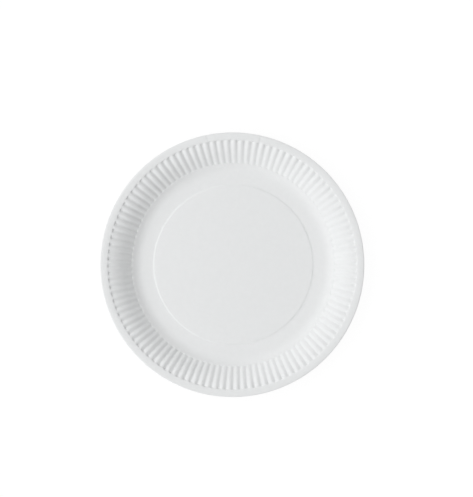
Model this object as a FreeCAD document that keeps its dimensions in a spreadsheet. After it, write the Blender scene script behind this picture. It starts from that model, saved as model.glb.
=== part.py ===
"""A pressed paper plate: one round sheet with a stepped flat base, a sloping wall and a turned-down lip.

Short channels, the flutes, run up the wall all the way round. The sheet stands on its flat foot at
z = 0, on the axis x = y = 0, with its open side up. Every face on top has its partner underneath,
one sheet thickness lower.
"""
import FreeCAD, Part
import Sketcher
from FreeCAD import Vector

import math
import os

# Driving sizes, in millimetres, degrees or a plain count.
SIZES = (
    ("plate_diameter", 230.0),
    ("sheet_thickness", 0.4),
    ("foot_width", 7.9),
    ("step_run", 2.6),
    ("step_rise", 0.45),
    ("crown_run", 25.0),
    ("crown_slope", 2.5),
    ("corner_radius", 14.8),
    ("corner_flats", 3),
    ("wall_slope", 39.0),
    ("wall_length", 8.35),
    ("shoulder_radius", 28.0),
    ("shoulder_slope", 6.8),
    ("shoulder_flats", 2),
    ("rim_radius", 20.7),
    ("lip_slope", 11.0),
    ("rim_flats", 3),
    ("flutes", 108),
    ("flute_angle", 2.0),
    ("floor_angle", 0.5),
    ("flute_depth", 0.95),
    ("flute_end_slope", 38.0),
)

AXIS = Vector(0, 0, 1)
CENTRE = Vector(0, 0, 0)
SHEET = "Sizes."

# How far the forms that cut the sheet reach past it.
CLEAR = 3.0

# How far a flute's flanks go on above the face that they cut, as a share of their own height.
FLANK_RISE = 0.6

# The most edges that a face has when it runs all the way round with no flute ending on it.
RING_EDGES = 4


def make_sizes(doc):
    """The spreadsheet of driving sizes: a name and a plain number on each row."""
    sheet = doc.addObject("Spreadsheet::Sheet", "Sizes")
    for row, (name, number) in enumerate(SIZES, 1):
        sheet.set(f"A{row}", name)
        sheet.set(f"B{row}", str(number))
        sheet.setAlias(f"B{row}", name)
    doc.recompute()


def size(doc, name):
    """The number that the spreadsheet holds under this name."""
    return float(doc.Sizes.get(name))


def bind(sketch, name, constraint, expression):
    """Adds a named dimension to a sketch and ties it to an expression on the spreadsheet."""
    number = sketch.addConstraint(constraint)
    sketch.renameConstraint(number, name)
    sketch.setExpression("Constraints." + name, expression)


def bend(name, radius, first_slope, last_slope, flats):
    """A bend of the section as flats of equal length whose corners lie on one arc.

    Each flat turns by an equal share of the bend, so its slope lies midway in its share and its
    length is the chord 2 R sin(share / 2).
    """
    share = f"(({last_slope}) - ({first_slope})) / {flats[1]}"
    runs = []
    for k in range(flats[0]):
        slope = f"(({first_slope}) + {k + 0.5} * {share}) * 1 deg"
        length = f"2 * ({radius}) * abs(sin({share} * 0.5 deg))"
        runs.append((f"{name}_{k + 1}", slope, length))
    return runs


def section_runs(doc, drop):
    """The section from the foot outwards, `drop` below the top face: a slope and a length each."""
    count = {name: (int(size(doc, name)), SHEET + name)
             for name in ("corner_flats", "shoulder_flats", "rim_flats")}
    wall = SHEET + "wall_slope"
    shoulder = SHEET + "shoulder_slope"
    return (
        [("foot", "0 deg", SHEET + "foot_width")]
        + bend("corner", f"{SHEET}corner_radius + {drop}", "0", wall, count["corner_flats"])
        + [("wall", wall + " * 1 deg", SHEET + "wall_length")]
        + bend("shoulder", f"{SHEET}shoulder_radius - {drop}", wall, shoulder, count["shoulder_flats"])
        + bend("rim", f"{SHEET}rim_radius - {drop}", shoulder, f"-{SHEET}lip_slope", count["rim_flats"])
    )


def new_sketch(doc, name):
    """An empty sketch on the XZ plane: its x is the radius and its y is the height."""
    sketch = doc.addObject("Sketcher::SketchObject", name)
    sketch.Placement = FreeCAD.Placement(CENTRE, FreeCAD.Rotation(Vector(1, 0, 0), 90))
    return sketch


def draw_chain(sketch, start, runs):
    """Lines laid end to end from `start`, each with its own slope and length."""
    here = start
    for name, slope, length in runs:
        turn = math.radians(float(sketch.evalExpression(slope)))
        reach = float(sketch.evalExpression(length))
        there = here + Vector(reach * math.cos(turn), reach * math.sin(turn), 0)
        line = sketch.addGeometry(Part.LineSegment(here, there), False)
        if line > 0:
            sketch.addConstraint(Sketcher.Constraint("Coincident", line - 1, 2, line, 1))
        bind(sketch, name + "_slope", Sketcher.Constraint("Angle", line, turn), slope)
        bind(sketch, name + "_length", Sketcher.Constraint("Distance", line, reach), length)
        here = there
    return here


def draw_outline(doc, name, drop, past_lip="0"):
    """The closed section of a solid whose upper face is the sheet's face, `drop` below the top one.

    After the chain from the foot to the lip come the edge, the base, the axis, the middle of the
    panel, its sloping crown and the step, which ends at the foot again. `past_lip` carries the last
    flat on past the sheet's edge.
    """
    sketch = new_sketch(doc, name)
    runs = section_runs(doc, drop)
    tag, slope, length = runs[-1]
    runs[-1] = (tag, slope, f"{length} + {past_lip}")
    start = Vector(size(doc, "plate_diameter") / 3, 0, 0)
    end = draw_chain(sketch, start, runs)
    last = len(runs) - 1
    panel = start + Vector(-1, 1, 0)
    top = panel + Vector(-1, 1, 0)
    corners = [end, Vector(end.x, -CLEAR, 0), Vector(0, -CLEAR, 0), Vector(0, top.y, 0), top, panel, start]
    lines = [sketch.addGeometry(Part.LineSegment(p, q), False) for p, q in zip(corners, corners[1:])]
    for first, second in zip([last] + lines, lines + [0]):
        sketch.addConstraint(Sketcher.Constraint("Coincident", first, 2, second, 1))
    edge, base, axis, middle, crown, step = lines
    for line in (base, middle):
        sketch.addConstraint(Sketcher.Constraint("Horizontal", line))
    for end_of_axis in (1, 2):
        sketch.addConstraint(Sketcher.Constraint("PointOnObject", axis, end_of_axis, -2))
    bind(sketch, "base_depth", Sketcher.Constraint("DistanceY", base, 1, -1, 1, CLEAR), str(CLEAR))
    bind(sketch, "foot_height", Sketcher.Constraint("DistanceY", -1, 1, 0, 1, 1.0),
         f"{SHEET}sheet_thickness - {drop}")
    bind(sketch, "step_rise", Sketcher.Constraint("DistanceY", 0, 1, step, 1, 1.0), SHEET + "step_rise")
    bind(sketch, "step_run", Sketcher.Constraint("DistanceX", step, 1, 0, 1, 1.0), SHEET + "step_run")
    bind(sketch, "crown_run", Sketcher.Constraint("DistanceX", crown, 1, crown, 2, 1.0), SHEET + "crown_run")
    bind(sketch, "crown_rise", Sketcher.Constraint("DistanceY", crown, 2, crown, 1, 1.0),
         f"{SHEET}crown_run * tan({SHEET}crown_slope * 1 deg)")
    return sketch, last, edge


def draw_top_outline(doc):
    """The section under the sheet's top face, cut off square to the lip at the plate's diameter."""
    sketch, last, edge = draw_outline(doc, "top_outline", "0")
    sketch.addConstraint(Sketcher.Constraint("Perpendicular", last, edge))
    bind(sketch, "lip_radius", Sketcher.Constraint("DistanceX", -1, 1, last, 2, 1.0),
         SHEET + "plate_diameter / 2")
    foot = sketch.addConstraint(Sketcher.Constraint("DistanceX", -1, 1, 0, 2, 1.0))
    sketch.renameConstraint(foot, "foot_radius")
    sketch.setDriving(foot, False)
    return sketch


def draw_under_outline(doc):
    """The section under the sheet's lower face, carried on past the lip so that it cuts right through."""
    sketch, last, edge = draw_outline(doc, "under_outline", SHEET + "sheet_thickness", str(CLEAR))
    sketch.addConstraint(Sketcher.Constraint("Vertical", edge))
    bind(sketch, "foot_radius", Sketcher.Constraint("DistanceX", -1, 1, 0, 2, 1.0),
         "top_outline.Constraints.foot_radius")
    return sketch


def turned(doc, name, sketch):
    """The solid that a section makes when it turns about the plate's axis."""
    solid = doc.addObject("Part::Revolution", name)
    solid.Source = sketch
    solid.Axis = AXIS
    solid.Base = CENTRE
    solid.Angle = 360
    solid.Solid = True
    return solid


def flute_stretch(doc, sketch):
    """The corners of the section along the fluted stretch: the wall's two ends and the shoulder's flats."""
    wall = 1 + int(size(doc, "corner_flats"))
    flats = 1 + int(size(doc, "shoulder_flats"))
    points = [sketch.getPoint(wall, 1)]
    points += [sketch.getPoint(line, 2) for line in range(wall, wall + flats)]
    return points


def crossing(first, along, second, across):
    """Where the line from `first` along `along` meets the line from `second` along `across`."""
    gap = second - first
    spread = along.x * across.y - along.y * across.x
    return first + along * ((gap.x * across.y - gap.y * across.x) / spread)


def square_to(direction):
    """The direction turned a quarter turn towards the underside."""
    return Vector(direction.y, -direction.x, 0)


def beside(point, angle):
    """A point of the section, turned about the plate's axis."""
    turn = math.radians(angle)
    return Vector(point.x * math.cos(turn), point.x * math.sin(turn), point.y)


def mirrored(point):
    """The same point on the other side of the flute's middle plane."""
    return Vector(point.x, -point.y, point.z)


def flute_wedge(doc, sketch):
    """One flute before its ends are cut: a trough that follows the flats of a section.

    The trough's mouth lies between two half planes through the axis, and its floor between two
    closer ones. Along each flat the floor points at the place where that flat's own line meets the
    axis, so both flanks are flat there. The flute is as deep as its named depth at the outer end and
    grows shallower inwards with the radius. The first and last stations lie `CLEAR` beyond the
    fluted stretch, and the flanks go on above the face that they cut.
    """
    points = flute_stretch(doc, sketch)
    runs = [(q - p).normalize() for p, q in zip(points, points[1:])]
    apexes = [Vector(0, p.y - p.x * run.y / run.x, 0) for p, run in zip(points, runs)]
    ends = (points[0] - runs[0] * CLEAR, points[-1] + runs[-1] * CLEAR)
    corners = [ends[0]] + points[1:-1] + [ends[1]]
    ways = [square_to(runs[0])]
    ways += [square_to(p) + square_to(q) for p, q in zip(runs, runs[1:])]
    ways.append(square_to(runs[-1]))
    floor = []
    on_floor = points[-1] + square_to(runs[-1]) * size(doc, "flute_depth")
    for k in range(len(corners) - 1, -1, -1):
        apex = apexes[min(k, len(apexes) - 1)]
        on_floor = crossing(apex, on_floor - apex, corners[k], ways[k])
        floor.insert(0, on_floor)
    stations = []
    for corner, low in zip(corners, floor):
        right = beside(low, size(doc, "floor_angle") / 2)
        mouth = beside(corner, size(doc, "flute_angle") / 2)
        top = mouth + (mouth - right) * FLANK_RISE
        stations.append((right, top, mirrored(top), mirrored(right)))
    faces = [polygon(stations[0]), polygon(stations[-1])]
    for first, second in zip(stations, stations[1:]):
        for k in range(len(first)):
            j = (k + 1) % len(first)
            faces.append(polygon((first[k], first[j], second[j], second[k])))
    return closed_solid(faces)


def polygon(points):
    """A flat face with these corners."""
    return Part.Face(Part.makePolygon(list(points) + [points[0]]))


def closed_solid(faces):
    """The solid that these faces close."""
    shell = Part.makeShell(faces)
    shell.sewShape()
    solid = Part.makeSolid(shell)
    if solid.Volume < 0:
        solid.reverse()
    return solid


def flute_window(doc, sketch):
    """The ring of space that a flute may take: above the level where the wall starts, and inside a
    cone that leans outwards through the outer end of the shoulder."""
    points = flute_stretch(doc, sketch)
    low, high = points[0], points[-1]
    run = points[-1] - points[-2]
    lean = math.atan2(run.y, run.x) + math.radians(size(doc, "flute_end_slope"))
    top = high.y + CLEAR
    outer = [Vector(high.x + (z - high.y) / math.tan(lean), z, 0) for z in (low.y, top)]
    inner = [Vector(low.x - 2 * CLEAR, z, 0) for z in (top, low.y)]
    corners = [Vector(p.x, 0, p.y) for p in outer + inner]
    section = polygon(corners)
    section.rotate(CENTRE, AXIS, -size(doc, "flute_angle"))
    return section.revolve(CENTRE, AXIS, 2 * size(doc, "flute_angle"))


def all_flutes(doc, name, sketch):
    """One flute's space, repeated round the plate."""
    one = flute_wedge(doc, sketch).common(flute_window(doc, sketch))
    count = int(size(doc, "flutes"))
    copies = []
    for k in range(count):
        flute = one.copy()
        flute.rotate(CENTRE, AXIS, 360 / count * k)
        copies.append(flute)
    pattern = doc.addObject("Part::Feature", name)
    pattern.Shape = Part.makeCompound(copies)
    return pattern


def cut(doc, name, base, tool):
    """What is left of one solid when another is taken from it."""
    result = doc.addObject("Part::Cut", name)
    result.Base = base
    result.Tool = tool
    return result


def spline_form(doc, name, base):
    """The same solid with the faces of its fluted band as splines, so that each of their short arcs
    is one curve. The plain rings and the flat middle stay cones and planes."""
    faces = []
    for face in base.Shape.Faces:
        plain = len(face.Edges) <= RING_EDGES and any(edge.isClosed() for edge in face.Edges)
        faces.extend([face] if plain else face.toNurbs().Faces)
    result = doc.addObject("Part::Feature", name)
    result.Shape = closed_solid(faces)
    result.Placement = FreeCAD.Placement(CENTRE, FreeCAD.Rotation())
    return result


def main():
    doc = FreeCAD.newDocument("paper_plate")
    make_sizes(doc)
    top_outline = draw_top_outline(doc)
    doc.recompute()
    under_outline = draw_under_outline(doc)
    doc.recompute()
    forms = []
    for side, outline in (("top", top_outline), ("under", under_outline)):
        flutes = all_flutes(doc, side + "_flutes", outline)
        forms.append(cut(doc, side + "_form", turned(doc, side + "_solid", outline), flutes))
    sheet = cut(doc, "sheet", *forms)
    doc.recompute()
    plate = spline_form(doc, "plate", sheet)
    plate.Label = "plate"
    doc.recompute()
    for item in doc.Objects:
        if "Invalid" in item.State or "Error" in item.State:
            raise RuntimeError(f"{item.Name} failed: {item.State}")
    if plate.Shape.isNull() or not plate.Shape.isValid():
        raise RuntimeError("the plate's shape isn't valid")
    os.makedirs("parts", exist_ok=True)
    plate.Shape.exportStep("parts/plate.step")
    print(f"plate: {len(plate.Shape.Faces)} faces, {plate.Shape.BoundBox}")


main()
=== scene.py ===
"""The looks of a pressed paper plate: one smooth sheet of white paperboard on a white table.

The section is a chain of arcs and straight stretches. It turns about the plate's axis, and the
flutes are pressed into both faces of the sheet. Angles are in degrees. Lengths are in millimetres,
and only those of the table, the lamps and the camera are in metres.
"""
import math

import bpy
import numpy as np
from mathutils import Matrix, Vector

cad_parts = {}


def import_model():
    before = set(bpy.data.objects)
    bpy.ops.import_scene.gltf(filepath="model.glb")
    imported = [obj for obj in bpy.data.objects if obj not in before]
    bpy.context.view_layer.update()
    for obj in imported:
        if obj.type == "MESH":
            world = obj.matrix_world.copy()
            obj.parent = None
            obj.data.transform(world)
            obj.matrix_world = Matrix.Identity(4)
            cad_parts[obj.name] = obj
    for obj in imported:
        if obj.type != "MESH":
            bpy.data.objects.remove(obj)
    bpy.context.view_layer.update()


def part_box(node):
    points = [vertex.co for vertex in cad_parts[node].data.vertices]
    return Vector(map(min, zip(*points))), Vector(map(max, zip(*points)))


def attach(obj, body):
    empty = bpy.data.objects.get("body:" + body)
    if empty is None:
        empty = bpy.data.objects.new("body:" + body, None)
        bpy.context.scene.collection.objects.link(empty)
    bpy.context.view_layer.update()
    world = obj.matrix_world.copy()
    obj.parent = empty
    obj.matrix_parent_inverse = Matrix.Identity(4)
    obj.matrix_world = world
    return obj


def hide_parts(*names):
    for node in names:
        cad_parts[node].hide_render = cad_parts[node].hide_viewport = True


MM = 0.001

# The sheet's thickness, and its section from the middle outwards: the crown of the panel, the bend
# into the step, the step and the short bend at its foot, the flat foot ring, the bend into the wall,
# the straight wall, the bend over the shoulder, the rim, and how round the lip's edges are.
THICKNESS = 0.4
CROWN_SLOPE = 2.2
ROLL_LENGTH = 0.9
STEP_LENGTH = 0.75
STEP_SLOPE = 21.0
STEP_END_SLOPE = 19.0
STEP_STOP = 0.15
FOOT_WIDTH = 9.2
CORNER_RADIUS = 14.8
WALL_SLOPE = 40.0
WALL_LENGTH = 7.7
SHOULDER_RADIUS = 29.5
SHOULDER_SLOPE = 9.5
RIM_RADIUS = 20.5
LIP_SLOPE = 7.0
EDGE_ROUND = 0.07

# The flutes: how many, their share of the pitch, their depth at the outer end and the power of the
# radius that it goes with, how far below the wall they start, the lengths of the inner and the outer
# end, by what share they are deeper just before the outer end and over what length, and the angle
# from +X of the middle of the first one.
FLUTES = 108
FLUTE_SHARE = 0.9
FLUTE_DEPTH = 0.98
DEPTH_POWER = 3.8
FLUTE_LEAD = 0.95
INNER_END = 0.6
OUTER_END = 1.6
OUTER_DIP = 0.4
DIP_LENGTH = 1.9
FIRST_FLUTE = 0.59

# How the depth varies from flute to flute. Each wave has its size, its turn in radians from one flute
# to the next, and its turn at the first flute.
UNEVEN_WAVES = ((0.04, 2.4, 0.0), (0.03, 0.37, 1.0))

# The rim is not quite level: the height of its slow waves, the power of the radius that it goes with,
# and for each wave how many go round, its share of the height and its turn in radians at +X.
WARP = 0.07
WARP_POWER = 6
WARP_WAVES = ((2, 0.6, 0.4), (3, 0.3, 2.1), (7, 0.15, 4.0))

# Two faint creases across the lip, where the sheet steps down a little and comes back: their angles,
# the depth, the angles that the step and the way back take, and the shares of the radius between
# which they grow to that depth.
CREASES = (101.4, 77.6)
CREASE_DEPTH = 0.32
CREASE_STEP = 0.3
CREASE_BACK = 3.0
CREASE_START = 0.94
CREASE_FULL = 0.962

# Columns of the mesh in one pitch of the flutes, as shares of it, and how many of them make one
# column of the plain middle.
COLUMNS = np.array((-0.5, -0.4, -0.29, -0.19, -0.09, 0.0, 0.09, 0.19, 0.29, 0.4))
COARSE = 5

# Samples on each part of the section when its radius and height are added up.
SAMPLES = 200

# The frame of the photograph in pixels, and where the middle of the lip lies in it and the lip's
# radius there.
FRAME_WIDTH = 473
FRAME_HEIGHT = 497
PLATE_X = 231.9
PLATE_Y = 264.75
PLATE_PIXELS = 132.35

# The paper's colour where the pulp lies thinner and thicker.
THIN_PAPER = (0.786, 0.796, 0.799, 1)
THICK_PAPER = (0.802, 0.812, 0.815, 1)

# The table: how far its surface is below the foot, in millimetres, so that the two don't lie in one
# plane, half its width, its colour, and the strength and share of the plain white that the camera
# sees in its place.
TABLE_GAP = 0.02
TABLE_HALF_WIDTH = 1.5
TABLE_COLOUR = (0.85, 0.85, 0.85, 1)
TABLE_WHITE = 1.03
TABLE_WHITE_SHARE = 0.93

# The light: the room's level, the key lamp on the left, and a broad weaker light at the back and at
# the front. A direction is the side that the light comes from, measured from +X, and a rise is its
# angle above the table.
ROOM_LEVEL = 0.08
KEY_DIRECTION = 180.0
KEY_RISE = 45.0
KEY_DISTANCE = 4.7
KEY_WIDTH = 5.4
KEY_POWER = 164.0
SIDES = (("side_back", 90.0), ("side_front", 270.0))
SIDE_RISE = 33.0
SIDE_SPREAD = 90.0
SIDE_STRENGTH = 1.34

# The camera: how far off, and how far it leans from straight above towards +X.
CAMERA_DISTANCE = 2.5
CAMERA_LEAN = 4.3


def section_parts(lip_radius):
    """Every part of the section from the axis outwards: length, first slope, last slope and rows."""
    bend = math.radians(WALL_SLOPE) * CORNER_RADIUS
    shoulder = math.radians(WALL_SLOPE - SHOULDER_SLOPE) * SHOULDER_RADIUS
    rim = math.radians(SHOULDER_SLOPE + LIP_SLOPE) * RIM_RADIUS
    lead_turn = math.degrees(FLUTE_LEAD / CORNER_RADIUS)
    turn = math.degrees(OUTER_END / SHOULDER_RADIUS)
    parts = [
        ("roll", ROLL_LENGTH, -CROWN_SLOPE, -STEP_SLOPE, 5),
        ("step", STEP_LENGTH, -STEP_SLOPE, -STEP_END_SLOPE, 3),
        ("stop", STEP_STOP, -STEP_END_SLOPE, 0.0, 1),
        ("foot", FOOT_WIDTH / 2, 0.0, 0.0, 2),
        ("foot_outside", FOOT_WIDTH / 2, 0.0, 0.0, 2),
        ("corner", bend - FLUTE_LEAD, 0.0, WALL_SLOPE - lead_turn, 5),
        ("flute_start", FLUTE_LEAD, WALL_SLOPE - lead_turn, WALL_SLOPE, 6),
        ("wall", WALL_LENGTH, WALL_SLOPE, WALL_SLOPE, 5),
        ("shoulder", shoulder - OUTER_END, WALL_SLOPE, SHOULDER_SLOPE + turn, 7),
        ("flute_stop", OUTER_END, SHOULDER_SLOPE + turn, SHOULDER_SLOPE, 7),
        ("rim", rim - EDGE_ROUND, SHOULDER_SLOPE, -LIP_SLOPE, 7),
        ("lip", EDGE_ROUND, -LIP_SLOPE, -LIP_SLOPE, 1),
    ]
    run = sum(length * math.cos(math.radians((first + last) / 2)) for _, length, first, last, _ in parts)
    return [("panel", lip_radius - run, 0.0, -CROWN_SLOPE, 10)] + parts


class Section:
    """The top face's section. The slope is linear in arc length on each part, which makes it an arc or
    a straight line; radius and height are the running sums of its cosine and sine."""

    def __init__(self, lip_radius):
        parts = section_parts(lip_radius)
        lengths = np.array([part[1] for part in parts])
        self.ends = np.cumsum(lengths)
        starts = self.ends - lengths
        share = np.linspace(0, 1, SAMPLES)
        self.along = np.concatenate([a + share * n for a, n in zip(starts, lengths)])
        slopes = [first + share * (last - first) for _, _, first, last, _ in parts]
        self.slope = np.radians(np.concatenate(slopes))
        self.radius = self.summed(np.cos(self.slope))
        self.radius += lip_radius - self.radius[-1]
        self.height = self.summed(np.sin(self.slope))
        self.names = [part[0] for part in parts]
        self.height += THICKNESS - self.height_at(self.end_of("foot"))
        self.stations = {
            name: np.linspace(a, b, rows + 1)[1:]
            for (name, _, _, _, rows), a, b in zip(parts, starts, self.ends)
        }

    def summed(self, rate):
        """The running sum of a rate over the arc length, from 0, with the mean of each two samples."""
        steps = np.diff(self.along) * (rate[1:] + rate[:-1]) / 2
        return np.concatenate(((0.0,), np.cumsum(steps)))

    def end_of(self, name):
        """The arc length at which a part ends."""
        return self.ends[self.names.index(name)]

    def height_at(self, along):
        """The top face's height at an arc length, read between the samples."""
        return np.interp(along, self.along, self.height)

    def rows(self, first, last):
        """The arc lengths of the mesh's rows on the parts from `first` to `last`."""
        wanted = self.names[self.names.index(first): self.names.index(last) + 1]
        return np.concatenate([self.stations[name] for name in wanted])


def smooth(x):
    """0 below 0, 1 above 1, and 3 x^2 - 2 x^3 between."""
    x = np.clip(x, 0, 1)
    return x * x * (3 - 2 * x)


def flute_drop(section, along, angles):
    """How far the flutes lower the sheet.

    Across a flute it is half of 1 + cos. Along it, it rises over the length of the inner end and falls
    over that of the outer one, and just before the outer end it is a share deeper. The depth goes with
    a power of the radius, and varies a little from flute to flute.
    """
    start = section.end_of("corner")
    stop = section.end_of("flute_stop")
    lengthwise = smooth((along - start) / INNER_END) * smooth((stop - along) / OUTER_END)
    lengthwise *= 1 + OUTER_DIP * smooth(1 - (stop - OUTER_END - along) / DIP_LENGTH)
    radius = np.interp(along, section.along, section.radius)
    deepest = np.interp(stop, section.along, section.radius)
    pitch = 360 / FLUTES
    turns = (angles - FIRST_FLUTE) / pitch
    number = np.round(turns)
    across = np.abs(turns - number) / (FLUTE_SHARE / 2)
    trough = 0.5 * (1 + np.cos(np.pi * np.minimum(across, 1)))
    uneven = 1 + sum(size * np.sin(number * turn + begin) for size, turn, begin in UNEVEN_WAVES)
    depth = FLUTE_DEPTH * (radius / deepest) ** DEPTH_POWER
    return np.outer(depth * lengthwise, trough * uneven)


def crease_drop(radius, angles, lip_radius):
    """How far the two creases lower the lip: a short step and a slow way back, growing from nothing
    outside the flutes."""
    outwards = smooth((radius / lip_radius - CREASE_START) / (CREASE_FULL - CREASE_START))
    drop = np.zeros(len(angles))
    for angle in CREASES:
        past = (angle - angles + 180) % 360 - 180
        drop += CREASE_DEPTH * smooth(0.5 + past / CREASE_STEP) * (1 - smooth(past / CREASE_BACK))
    return np.outer(outwards, drop)


def sheet_points(section, along, below, angles):
    """Points of the sheet: the section's point at each arc length, moved down along the section's
    normal by `below`, the flutes and the creases, lifted by the rim's slow waves and turned to each
    angle."""
    radius = np.interp(along, section.along, section.radius)
    height = np.interp(along, section.along, section.height)
    slope = np.interp(along, section.along, section.slope)
    lip_radius = section.radius[-1]
    drop = np.asarray(below)[:, None] + flute_drop(section, along, angles)
    drop += crease_drop(radius, angles, lip_radius)
    turn = np.radians(angles)
    out = radius[:, None] + drop * np.sin(slope)[:, None]
    up = height[:, None] - drop * np.cos(slope)[:, None]
    waves = sum(size * np.cos(count * turn + phase) for count, size, phase in WARP_WAVES)
    up += np.outer(WARP * (radius / lip_radius) ** WARP_POWER, waves)
    return np.stack((out * np.cos(turn), out * np.sin(turn), up), axis=-1) * MM


def strip_faces(rows, columns, start):
    """Quads between neighbouring rows of a grid that closes on itself round the plate."""
    row, column = np.meshgrid(np.arange(rows - 1), np.arange(columns), indexing="ij")
    after = (column + 1) % columns
    low = start + row * columns
    quads = np.stack((low + column, low + column + columns, low + after + columns, low + after), axis=-1)
    return quads.reshape(-1, 4)


def disc_faces(centre, ring, columns):
    """Triangles from the middle point to the first ring."""
    column = np.arange(columns)
    return np.stack((np.full(columns, centre), ring + column, ring + (column + 1) % columns), axis=-1)


def joint_faces(inner, outer, columns):
    """Faces between a ring of the plain middle and the ring of finer columns outside it: one side
    inside and several outside."""
    column = np.arange(columns)
    fine = (column[:, None] * COARSE + np.arange(COARSE + 1)) % (columns * COARSE)
    ends = np.stack((inner + (column + 1) % columns, inner + column), axis=-1)
    return np.concatenate((ends, outer + fine), axis=1)


def plate_mesh(lip_radius):
    """The closed shell: one strip from the foot over the lip and back, and on each face a middle with
    fewer columns."""
    section = Section(lip_radius)
    pitch = 360 / FLUTES
    angles = ((np.arange(FLUTES)[:, None] + COLUMNS) * pitch + FIRST_FLUTE).ravel()
    coarse = angles[::COARSE]
    face = section.rows("foot", "rim")[section.stations["foot"].size - 1:]
    edge = np.array((EDGE_ROUND, THICKNESS / 2, THICKNESS - EDGE_ROUND))
    along = np.concatenate((face, np.full(edge.size, section.ends[-1]), face[::-1]))
    below = np.concatenate((np.zeros(face.size), edge, np.full(face.size, THICKNESS)))
    outside = sheet_points(section, along, below, angles)
    middle = section.rows("panel", "foot")[:-1]
    points = [outside.reshape(-1, 3)]
    faces = [strip_faces(along.size, angles.size, 0)]
    count = outside.shape[0] * angles.size
    for depth, ring in ((0.0, 0), (THICKNESS, (along.size - 1) * angles.size)):
        inside = sheet_points(section, middle, np.full(middle.size, depth), coarse)
        centre = np.array(((0.0, 0.0, (section.height[0] - depth) * MM),))
        points += [inside.reshape(-1, 3), centre]
        last = count + (middle.size - 1) * coarse.size
        patches = [
            strip_faces(middle.size, coarse.size, count),
            disc_faces(count + middle.size * coarse.size, count, coarse.size),
            joint_faces(last, ring, coarse.size),
        ]
        faces += patches if depth == 0 else [patch[:, ::-1] for patch in patches]
        count += middle.size * coarse.size + 1
    mesh = bpy.data.meshes.new("plate_sheet")
    mesh.from_pydata(np.concatenate(points), [], sum((patch.tolist() for patch in faces), []))
    mesh.shade_smooth()
    mesh.validate()
    return mesh


def node(tree, kind, inputs=None, **settings):
    """A shader node with its settings and the plain values of its inputs."""
    made = tree.nodes.new(kind)
    for name, value in settings.items():
        setattr(made, name, value)
    for name, value in (inputs or {}).items():
        made.inputs[name].default_value = value
    return made


def new_material(name):
    """A material with no nodes yet, and its tree."""
    material = bpy.data.materials.new(name)
    material.use_nodes = True
    material.node_tree.nodes.clear()
    return material, material.node_tree


def paper_material():
    """Uncoated white board: a cloudy tone where the pulp lies thicker, and a fine felt of fibres."""
    material, tree = new_material("white_paperboard")
    link = tree.links.new
    place = node(tree, "ShaderNodeTexCoord")
    clouds = node(tree, "ShaderNodeTexNoise", {"Scale": 260.0, "Detail": 4.0, "Roughness": 0.6})
    fibres = node(tree, "ShaderNodeTexNoise", {"Scale": 1500.0, "Detail": 5.0, "Roughness": 0.65,
                                               "Distortion": 1.2})
    tone = node(tree, "ShaderNodeMapRange", {"From Min": 0.3, "From Max": 0.7})
    colour = node(tree, "ShaderNodeMix", data_type="RGBA")
    colour.inputs["A"].default_value = THIN_PAPER
    colour.inputs["B"].default_value = THICK_PAPER
    felt = node(tree, "ShaderNodeBump", {"Strength": 0.35, "Distance": 0.00005})
    paper = node(tree, "ShaderNodeBsdfPrincipled", {"Roughness": 0.88, "Specular IOR Level": 0.22})
    output = node(tree, "ShaderNodeOutputMaterial")
    for pattern in (clouds, fibres):
        link(place.outputs["Object"], pattern.inputs["Vector"])
    link(clouds.outputs["Fac"], tone.inputs["Value"])
    link(tone.outputs["Result"], colour.inputs["Factor"])
    link(colour.outputs["Result"], paper.inputs["Base Color"])
    link(fibres.outputs["Fac"], felt.inputs["Height"])
    link(felt.outputs["Normal"], paper.inputs["Normal"])
    link(paper.outputs["BSDF"], output.inputs["Surface"])
    return material


def add_plate(lip_radius):
    """The sheet of paper, which stands for the solid plate."""
    mesh = plate_mesh(lip_radius)
    mesh.materials.append(paper_material())
    piece = bpy.data.objects.new("plate_sheet", mesh)
    bpy.context.scene.collection.objects.link(piece)
    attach(piece, "root")
    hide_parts("plate")


def table_material():
    """A white table: the camera sees it nearly white, and a soft shadow is left on it."""
    material, tree = new_material("white_table")
    link = tree.links.new
    path = node(tree, "ShaderNodeLightPath")
    share = node(tree, "ShaderNodeMath", {1: TABLE_WHITE_SHARE}, operation="MULTIPLY")
    lit = node(tree, "ShaderNodeBsdfDiffuse", {"Color": TABLE_COLOUR})
    white = node(tree, "ShaderNodeEmission", {"Color": (1, 1, 1, 1), "Strength": TABLE_WHITE})
    mix = node(tree, "ShaderNodeMixShader")
    output = node(tree, "ShaderNodeOutputMaterial")
    link(path.outputs["Is Camera Ray"], share.inputs[0])
    link(share.outputs["Value"], mix.inputs["Fac"])
    link(lit.outputs["BSDF"], mix.inputs[1])
    link(white.outputs["Emission"], mix.inputs[2])
    link(mix.outputs["Shader"], output.inputs["Surface"])
    return material


def add_table():
    """A square of table under the plate."""
    mesh = bpy.data.meshes.new("table")
    corners = np.array(((-1, -1), (1, -1), (1, 1), (-1, 1))) * TABLE_HALF_WIDTH
    mesh.from_pydata([(x, y, -TABLE_GAP * MM) for x, y in corners], [], [(0, 1, 2, 3)])
    mesh.materials.append(table_material())
    table = bpy.data.objects.new("table", mesh)
    bpy.context.scene.collection.objects.link(table)


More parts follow.
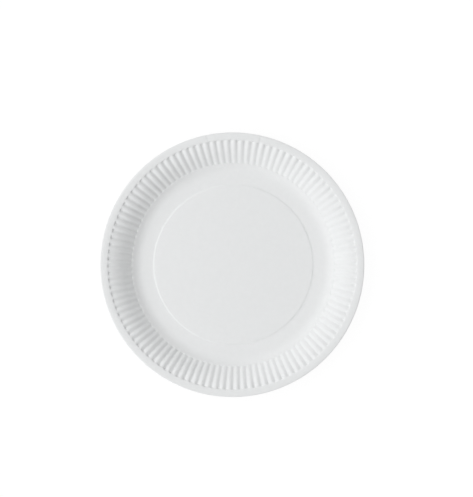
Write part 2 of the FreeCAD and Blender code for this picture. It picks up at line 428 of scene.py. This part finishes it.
def add_room_light():
    """White to the camera, in reflections and through glass, and a soft even light on all else."""
    world = bpy.data.worlds.new("room")
    bpy.context.scene.world = world
    world.use_nodes = True
    tree = world.node_tree
    tree.nodes.clear()
    link = tree.links.new
    path = node(tree, "ShaderNodeLightPath")
    either = node(tree, "ShaderNodeMath", operation="MAXIMUM")
    seen = node(tree, "ShaderNodeMath", operation="MAXIMUM")
    strength = node(tree, "ShaderNodeMapRange", {"To Min": ROOM_LEVEL, "To Max": 1.0})
    sky = node(tree, "ShaderNodeBackground", {"Color": (1, 1, 1, 1)})
    output = node(tree, "ShaderNodeOutputWorld")
    link(path.outputs["Is Camera Ray"], either.inputs[0])
    link(path.outputs["Is Glossy Ray"], either.inputs[1])
    link(either.outputs["Value"], seen.inputs[0])
    link(path.outputs["Is Transmission Ray"], seen.inputs[1])
    link(seen.outputs["Value"], strength.inputs["Value"])
    link(strength.outputs["Result"], sky.inputs["Strength"])
    link(sky.outputs["Background"], output.inputs["Surface"])


def place_lamp(lamp, direction, rise, distance):
    """Puts a lamp beside and above the plate, and turns it towards the plate."""
    light = bpy.data.objects.new(lamp.name, lamp)
    bpy.context.scene.collection.objects.link(light)
    turn = math.radians(direction)
    lift = math.radians(rise)
    away = Vector((math.cos(lift) * math.cos(turn), math.cos(lift) * math.sin(turn), math.sin(lift)))
    light.location = away * distance
    light.rotation_euler = (0, math.pi / 2 - lift, turn)


def add_lamps():
    """A large lamp on the left, a little stronger on that side of the plate than on the other, and two
    broad lights from the back and the front, as strong all over it."""
    key = bpy.data.lights.new("key", "AREA")
    key.shape = "DISK"
    key.size = KEY_WIDTH
    key.energy = KEY_POWER
    place_lamp(key, KEY_DIRECTION, KEY_RISE, KEY_DISTANCE)
    for name, direction in SIDES:
        side = bpy.data.lights.new(name, "SUN")
        side.angle = math.radians(SIDE_SPREAD)
        side.energy = SIDE_STRENGTH
        place_lamp(side, direction, SIDE_RISE, KEY_DISTANCE)


def add_camera(lip_radius, rim_height):
    """Nearly straight above. One pixel covers the same length at the rim as in the photograph, and the
    camera looks beside the plate's middle by as much as the plate lies off the picture's middle."""
    pixel = lip_radius * MM / PLATE_PIXELS
    aside = Vector(((FRAME_WIDTH / 2 - PLATE_X) * pixel, (PLATE_Y - FRAME_HEIGHT / 2) * pixel, 0))
    target = aside + Vector((0, 0, rim_height))
    lens = bpy.data.cameras.new("camera")
    lens.lens = lens.sensor_width * CAMERA_DISTANCE / (FRAME_HEIGHT * pixel)
    lens.clip_end = 2 * CAMERA_DISTANCE
    camera = bpy.data.objects.new("camera", lens)
    bpy.context.scene.collection.objects.link(camera)
    lean = math.radians(CAMERA_LEAN)
    camera.location = target + Vector((math.sin(lean), 0, math.cos(lean))) * CAMERA_DISTANCE
    camera.rotation_euler = (0, lean, 0)
    bpy.context.scene.camera = camera


def main():
    """The plate on its table, the light and the camera."""
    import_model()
    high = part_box("plate")[1]
    lip_radius = high.x / MM
    add_plate(lip_radius)
    add_table()
    add_room_light()
    add_lamps()
    add_camera(lip_radius, high.z)
    bpy.context.scene.view_settings.view_transform = "Standard"


main()
